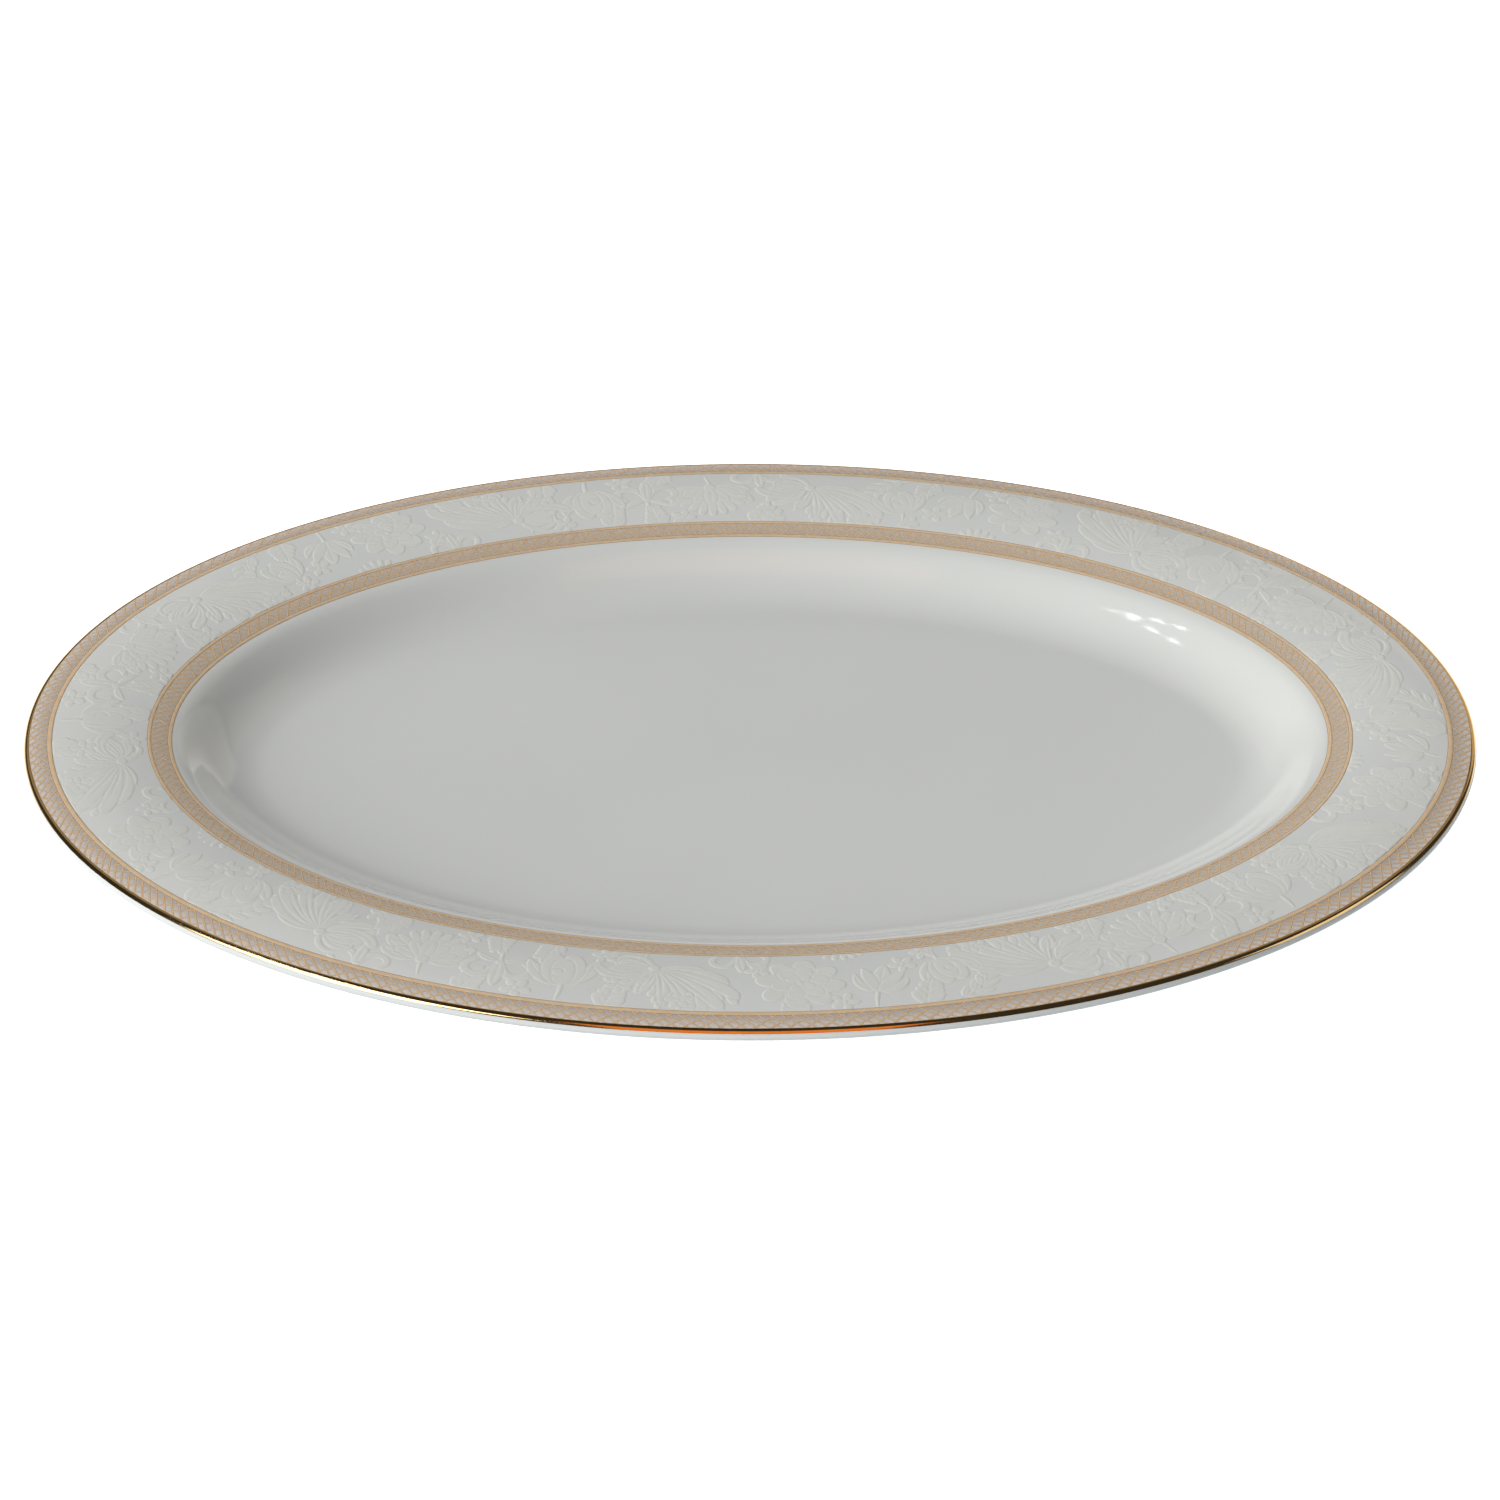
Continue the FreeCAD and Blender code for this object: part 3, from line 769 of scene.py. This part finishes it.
def make_damask():
    """The raised enamel, as two closed sheets that each go half way round.

    Between the motifs a sheet lies just under the glaze, so that only the motifs stand out of it.
    """
    canvas = draw_damask()
    half = canvas.columns // 2
    pieces = []
    for side in range(2):
        columns = np.arange(side * half, canvas.columns + 1 if side else half + 1)
        along = columns * canvas.step_x
        rows = np.arange(canvas.rows + 1)
        lift = canvas.level[:, columns % canvas.columns] * RELIEF
        top = on_rim(*np.meshgrid(along, DAMASK[0] + rows * canvas.step_y), lift)
        back_grid = np.meshgrid(along, np.linspace(DAMASK[0], DAMASK[1], BACK_ROWS + 1))
        back = on_rim(*back_grid, np.full_like(back_grid[0], RELIEF_BACK))
        points = np.concatenate([top.reshape(-1, 3), back.reshape(-1, 3)])
        width = len(columns)
        offset = top.shape[0] * width
        faces = grid_faces(top.shape[0], width, 0, False) + grid_faces(BACK_ROWS + 1, width, offset, True)
        last_row = (top.shape[0] - 1) * width
        last_back = offset + BACK_ROWS * width
        for column in range(width - 1):
            after = column + 1
            faces.append((column, offset + column, offset + after, after))
            faces.append((last_row + after, last_back + after, last_back + column, last_row + column))
        near = [row * width for row in range(top.shape[0])]
        near += [offset + row * width for row in range(BACK_ROWS, -1, -1)]
        far = [corner + width - 1 for corner in near]
        faces += [tuple(near), tuple(far[::-1])]
        piece = new_piece("damask_enamel_%d" % (side + 1), points, faces, RELIEF_SHARP)
        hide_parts("damask_relief")
        pieces.append(piece)
    return pieces


def grid_faces(rows, columns, offset, flip):
    """The four-sided faces of a grid of points."""
    faces = []
    for row in range(rows - 1):
        start = offset + row * columns
        for column in range(start, start + columns - 1):
            face = (column, column + 1, column + columns + 1, column + columns)
            faces.append(face[::-1] if flip else face)
    return faces


# ---------------------------------------------------------------- materials
class Nodes:
    """A short way to build a node material on a Principled shader."""

    def __init__(self, name):
        self.material = bpy.data.materials.new(name)
        self.material.use_nodes = True
        self.tree = self.material.node_tree
        self.shader = next(node for node in self.tree.nodes if node.type == "BSDF_PRINCIPLED")
        self.place = self.add("ShaderNodeTexCoord").outputs["Object"]

    def add(self, kind, **settings):
        """Add a node and set its inputs by name."""
        node = self.tree.nodes.new(kind)
        for key, value in settings.items():
            node.inputs[key.replace("_", " ")].default_value = value
        return node

    def join(self, output, target):
        """Link an output to an input."""
        self.tree.links.new(output, target)

    def noise(self, scale, detail=3.0):
        """Noise over the object's own coordinates."""
        node = self.add("ShaderNodeTexNoise", Scale=scale, Detail=detail)
        self.join(self.place, node.inputs["Vector"])
        return node.outputs["Fac"]

    def ramp(self, value, stops):
        """A colour ramp over a value: (position, colour) stops."""
        node = self.tree.nodes.new("ShaderNodeValToRGB")
        self.join(value, node.inputs["Fac"])
        for index, (position, colour) in enumerate(stops):
            if index > 1:
                node.color_ramp.elements.new(position)
            node.color_ramp.elements[index].position = position
            node.color_ramp.elements[index].color = tuple(colour) + (1,)
        return node.outputs["Color"]

    def blend(self, share, first, second):
        """Mix two colours, given as outputs."""
        node = self.tree.nodes.new("ShaderNodeMix")
        node.data_type = "RGBA"
        self.join(share, node.inputs[0])
        self.join(first, node.inputs[6])
        self.join(second, node.inputs[7])
        return node.outputs[2]

    def speckle(self, colour, scale, amount):
        """Darken a colour here and there by up to an amount."""
        node = self.tree.nodes.new("ShaderNodeMix")
        node.data_type = "RGBA"
        node.blend_type = "MULTIPLY"
        node.inputs[7].default_value = (1 - amount, 1 - amount, 1 - amount, 1)
        self.join(self.noise(scale, 5.0), node.inputs[0])
        self.join(colour, node.inputs[6])
        return node.outputs[2]

    def roughness(self, value, low, high):
        """Drive the roughness from a value between two limits."""
        node = self.add("ShaderNodeMapRange", To_Min=low, To_Max=high)
        self.join(value, node.inputs["Value"])
        self.join(node.outputs["Result"], self.shader.inputs["Roughness"])

    def bump(self, value, strength, distance):
        """Raise the surface from a value."""
        node = self.add("ShaderNodeBump", Strength=strength, Distance=distance)
        self.join(value, node.inputs["Height"])
        self.join(node.outputs["Normal"], self.shader.inputs["Normal"])

    def colour(self, output):
        """Set the base colour from an output."""
        self.join(output, self.shader.inputs["Base Color"])

    def set(self, **values):
        """Set sockets of the shader directly."""
        for key, value in values.items():
            self.shader.inputs[key.replace("_", " ")].default_value = value


def glaze_material():
    """White porcelain under a clear gloss, with faint tone changes and a few fired-in specks."""
    nodes = Nodes("porcelain_glaze")
    tone = nodes.ramp(nodes.noise(14.0), ((0.3, (0.775, 0.79, 0.765)), (0.7, (0.795, 0.81, 0.785))))
    cells = nodes.add("ShaderNodeTexVoronoi", Scale=75.0)
    nodes.join(nodes.place, cells.inputs["Vector"])
    speck = nodes.ramp(cells.outputs["Distance"], ((0.012, (1, 1, 1)), (0.022, (0, 0, 0))))
    dark = nodes.ramp(nodes.noise(40.0), ((0.35, (0.62, 0.60, 0.56)), (0.6, (0.78, 0.79, 0.775))))
    nodes.colour(nodes.blend(speck, tone, dark))
    nodes.roughness(nodes.noise(60.0), 0.05, 0.09)
    nodes.bump(nodes.noise(260.0, 2.0), 0.06, 0.00002)
    nodes.set(IOR=1.52, Specular_IOR_Level=0.5)
    return nodes.material


def enamel_material():
    """Raised warm white enamel with a satin skin."""
    nodes = Nodes("relief_enamel")
    nodes.colour(nodes.ramp(nodes.noise(220.0), ((0.3, (0.745, 0.755, 0.712)), (0.7, (0.77, 0.78, 0.74)))))
    nodes.roughness(nodes.noise(900.0), 0.28, 0.42)
    nodes.bump(nodes.noise(1500.0, 4.0), 0.25, 0.00003)
    nodes.set(IOR=1.5)
    return nodes.material


def print_gold_material(name, low, high):
    """Satin gold print, slightly uneven in tone."""
    nodes = Nodes(name)
    nodes.colour(nodes.ramp(nodes.noise(500.0), ((0.3, low), (0.7, high))))
    nodes.roughness(nodes.noise(1200.0), 0.32, 0.48)
    nodes.bump(nodes.noise(2200.0, 4.0), 0.3, 0.00003)
    nodes.set(Metallic=0.15)
    return nodes.material


def edge_shade_material():
    """Painted shade: the red-brown colour that darkens the edges of the gold lines and strands."""
    nodes = Nodes("brown_outline")
    nodes.colour(nodes.ramp(nodes.noise(600.0), ((0.3, (0.32, 0.22, 0.14)), (0.7, (0.41, 0.29, 0.19)))))
    nodes.roughness(nodes.noise(1100.0), 0.35, 0.5)
    nodes.bump(nodes.noise(2000.0, 4.0), 0.2, 0.00002)
    return nodes.material


def bright_gold_material():
    """Burnished gold with fine rubbing marks."""
    nodes = Nodes("gold_burnished")
    nodes.colour(nodes.ramp(nodes.noise(300.0), ((0.3, (0.84, 0.56, 0.25)), (0.7, (0.90, 0.63, 0.31)))))
    nodes.roughness(nodes.noise(800.0), 0.06, 0.14)
    nodes.bump(nodes.noise(700.0, 3.0), 0.08, 0.00002)
    nodes.set(Metallic=1.0)
    return nodes.material


def tint_and_painted_light_material(name, near, far):
    """The tinted print that a lattice lies on, with painted light: its tone ramps from lighter at its outer
    edge, where the lip's curve catches light, to darker at its inner edge.
    """
    nodes = Nodes(name)
    parts = nodes.add("ShaderNodeSeparateXYZ")
    nodes.join(nodes.add("ShaderNodeTexCoord").outputs["UV"], parts.inputs[0])
    # Painted light: lighter towards the lip, darker towards the border.
    shade = nodes.ramp(parts.outputs["Y"], ((0.15, near), (0.9, far)))
    nodes.colour(nodes.speckle(shade, 700.0, 0.12))
    nodes.roughness(nodes.noise(900.0), 0.2, 0.35)
    nodes.bump(nodes.noise(1800.0, 4.0), 0.15, 0.00002)
    return nodes.material


def biscuit_material():
    """Bare fired clay of the foot ring."""
    nodes = Nodes("bare_porcelain")
    nodes.colour(nodes.ramp(nodes.noise(120.0, 5.0), ((0.3, (0.70, 0.68, 0.63)), (0.7, (0.80, 0.79, 0.75)))))
    nodes.roughness(nodes.noise(900.0), 0.75, 0.95)
    nodes.bump(nodes.noise(2500.0, 5.0), 0.4, 0.00005)
    return nodes.material


def dress(piece, material):
    """Give a new piece its body and its material."""
    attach(piece, BODY)
    piece.data.materials.clear()
    piece.data.materials.append(material)


# ---------------------------------------------------------------- floor, light and camera
# Distances here are in metres.
VIEW_ELEVATION = math.radians(33.27)
VIEW_DISTANCE = 1.152
VIEW_DROP = 0.0072
LENS = 111.2
SENSOR = 36
FLOOR_REACH = 3.0


def make_floor():
    """A plain pale floor that glows faintly, so that it stays nearly white."""
    mesh = bpy.data.meshes.new("studio_floor")
    corners = [(x * FLOOR_REACH, y * FLOOR_REACH, 0) for x, y in ((-1, -1), (1, -1), (1, 1), (-1, 1))]
    mesh.from_pydata(corners, [], [(0, 1, 2, 3)])
    floor = bpy.data.objects.new("studio_floor", mesh)
    bpy.context.scene.collection.objects.link(floor)
    floor.location.z = cad_box[0][2]
    nodes = Nodes("studio_floor")
    nodes.colour(nodes.ramp(nodes.noise(3.0), ((0.3, (0.93, 0.93, 0.93)), (0.7, (0.94, 0.94, 0.94)))))
    nodes.set(Roughness=0.9, Specular_IOR_Level=0.0, Emission_Color=(1, 1, 1, 1), Emission_Strength=0.8)
    mesh.materials.append(nodes.material)
    floor.visible_diffuse = False


def make_lamp(name, place, target, size, power, colour):
    """An area lamp of a width and a height that looks at a target."""
    lamp = bpy.data.lights.new(name, "AREA")
    lamp.shape = "RECTANGLE"
    lamp.size, lamp.size_y = size
    lamp.energy = power
    lamp.color = colour
    holder = bpy.data.objects.new(name, lamp)
    bpy.context.scene.collection.objects.link(holder)
    holder.location = place
    holder.rotation_euler = (target - place).to_track_quat("-Z", "Y").to_euler()
    return holder


def direction(azimuth, elevation):
    """A unit vector from its azimuth, turning from +X to +Y, and its elevation, in degrees."""
    turn, rise = math.radians(azimuth), math.radians(elevation)
    return Vector((math.cos(turn) * math.cos(rise), math.sin(turn) * math.cos(rise), math.sin(rise)))


# Soft lamps that light the platter but don't show in its gloss: azimuth, elevation and power.
SOFT_LAMPS = (
    ("window", 215, 25, 610),
    ("back_wall", 90, 28, 240),
    ("ceiling", 90, 88, 105),
)
WHITE = (1.0, 1.0, 1.0)
PALE = (1.0, 0.88, 0.70)
WARM = (1.0, 0.36, 0.09)
# Lights that show only as reflections: azimuth, elevation, size, power and colour.
MIRRORED_LAMPS = (
    ("front_panel", 270, 57, (1.2, 2.1), 6.0, WARM),
    ("left_window", 210, 43, (1.5, 1.3), 24.0, WHITE),
    ("right_window", 355, 30, (1.2, 1.0), 3.6, WHITE),
    ("right_wall", 62, 15, (1.4, 1.3), 2.8, PALE),
    ("far_wall_left", 118, 38, (1.3, 1.4), 1.4, PALE),
    ("far_wall_right", 60, 44, (1.3, 1.0), 1.0, PALE),
    ("downlight_1", 189, 61, (0.08, 0.04), 0.20, WHITE),
    ("downlight_2", 183, 60, (0.08, 0.04), 0.20, WHITE),
    ("downlight_3", 175, 59, (0.08, 0.04), 0.20, WHITE),
    ("downlight_4", 168, 57, (0.08, 0.04), 0.20, WHITE),
)
MIRRORED_DISTANCE = 2.5
LAMP_DISTANCE = 8.0
LAMP_SIZE = 5.3
ROOM_BELOW = (0.42, 0.46, 0.49, 1)
ROOM_HORIZON = (0.9, 0.9, 0.9, 1)
ROOM_ABOVE = (0.035, 0.033, 0.03, 1)


def make_light():
    """A plain soft studio: diffuse lamps, the panels and downlights that the glaze mirrors."""
    centre = Vector((0, 0, LIP_HEIGHT * MM))
    for name, azimuth, elevation, power in SOFT_LAMPS:
        place = centre + direction(azimuth, elevation) * LAMP_DISTANCE
        lamp = make_lamp(name, place, centre, (LAMP_SIZE, LAMP_SIZE), power, WHITE)
        lamp.visible_glossy = False
        lamp.visible_camera = False
    for name, azimuth, elevation, size, power, colour in MIRRORED_LAMPS:
        place = centre + direction(azimuth, elevation) * MIRRORED_DISTANCE
        lamp = make_lamp(name, place, centre, size, power, colour)
        lamp.visible_diffuse = False
        lamp.visible_camera = False


def make_room():
    """The room's own glow: pale along the horizon, dim above, with the table's light from below."""
    world = bpy.data.worlds.new("studio")
    bpy.context.scene.world = world
    world.use_nodes = True
    tree = world.node_tree
    place = tree.nodes.new("ShaderNodeTexCoord")
    parts = tree.nodes.new("ShaderNodeSeparateXYZ")
    height = tree.nodes.new("ShaderNodeMapRange")
    height.inputs["From Min"].default_value = -1
    ramp = tree.nodes.new("ShaderNodeValToRGB")
    tree.links.new(place.outputs["Generated"], parts.inputs[0])
    tree.links.new(parts.outputs["Z"], height.inputs["Value"])
    tree.links.new(height.outputs["Result"], ramp.inputs["Fac"])
    tree.links.new(ramp.outputs["Color"], tree.nodes["Background"].inputs["Color"])
    stops = ((0.0, ROOM_BELOW), (0.495, ROOM_BELOW), (0.50, ROOM_HORIZON), (0.60, ROOM_ABOVE))
    elements = ramp.color_ramp.elements
    for position, _ in stops[1:-1]:
        elements.new(position)
    for element, (position, colour) in zip(elements, stops):
        element.position = position
        element.color = colour


def make_camera():
    """A long lens in front of the platter and above it, aimed near the middle of the lip."""
    target = Vector((0, 0, LIP_HEIGHT * MM))
    back = Vector((0, -math.cos(VIEW_ELEVATION), math.sin(VIEW_ELEVATION)))
    up = Vector((0, math.sin(VIEW_ELEVATION), math.cos(VIEW_ELEVATION)))
    data = bpy.data.cameras.new("camera")
    data.lens = LENS
    data.sensor_width = SENSOR
    data.clip_start = 0.01
    camera = bpy.data.objects.new("camera", data)
    bpy.context.scene.collection.objects.link(camera)
    camera.location = target + back * VIEW_DISTANCE - up * VIEW_DROP
    camera.rotation_euler = (-back).to_track_quat("-Z", "Y").to_euler()
    bpy.context.scene.camera = camera


# ---------------------------------------------------------------- the platter
def make_platter():
    """Build and dress every piece."""
    glaze = glaze_material()
    brown = edge_shade_material()
    line_gold = print_gold_material("gold_lines", (0.80, 0.57, 0.35), (0.86, 0.65, 0.42))
    strand_gold = print_gold_material("gold_strands", (0.84, 0.55, 0.30), (0.90, 0.63, 0.36))
    # The grounds' ramps are painted light: each band is lighter towards the lip.
    outer_tint_painted_light = tint_and_painted_light_material("outer_ground_painted_light", (0.78, 0.72, 0.67), (0.54, 0.50, 0.46))
    inner_tint_painted_light = tint_and_painted_light_material("inner_ground_painted_light", (0.67, 0.59, 0.50), (0.61, 0.53, 0.44))
    dress(make_upper_glaze(), glaze)
    dress(make_base_glaze(), glaze)
    dress(make_gilt_edge(), bright_gold_material())
    borders = (
        ("outer_border", OUTER_BORDER, "outer_border_line"),
        ("middle_border", MIDDLE_BORDER, "middle_border_line"),
        ("well_border", WELL_BORDER, "well_border_line"),
    )
    # Each gold line has painted shade along both its edges.
    for name, span, node in borders:
        dress(make_line(name, span, node), line_gold)
        dress(make_edge_shade(name + "_outline", span, node), brown)
    dress(make_ground("outer_tint_painted_light", OUTER_LATTICE, "outer_lattice_ground"), outer_tint_painted_light)
    dress(make_ground("inner_tint_painted_light", INNER_LATTICE, "inner_lattice_ground"), inner_tint_painted_light)
    lattices = (
        ("outer_strands", OUTER_LATTICE, "outer_lattice", 121, 5.2),
        ("inner_strands", INNER_LATTICE, "inner_lattice", 113, 3.7),
    )
    # Under each gold strand lies a wider brown copy: painted shade along its edges.
    edge_shade_width = STRAND_WIDTH + 2 * EDGE_SHADE_WIDTH
    for name, span, node, periods, run in lattices:
        top = make_lattice(name, span, node, periods, run, STRAND_WIDTH, STRAND_HEIGHT)
        base = make_lattice(name + "_outline", span, node, periods, run, edge_shade_width, EDGE_SHADE_HEIGHT)
        dress(top, strand_gold)
        dress(base, brown)
    enamel = enamel_material()
    for piece in make_damask():
        dress(piece, enamel)
    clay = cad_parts["porcelain_body"]
    clay.data.materials.clear()
    clay.data.materials.append(biscuit_material())


make_camera()
make_platter()
make_floor()
make_room()
make_light()
bpy.context.scene.view_settings.view_transform = "Standard"
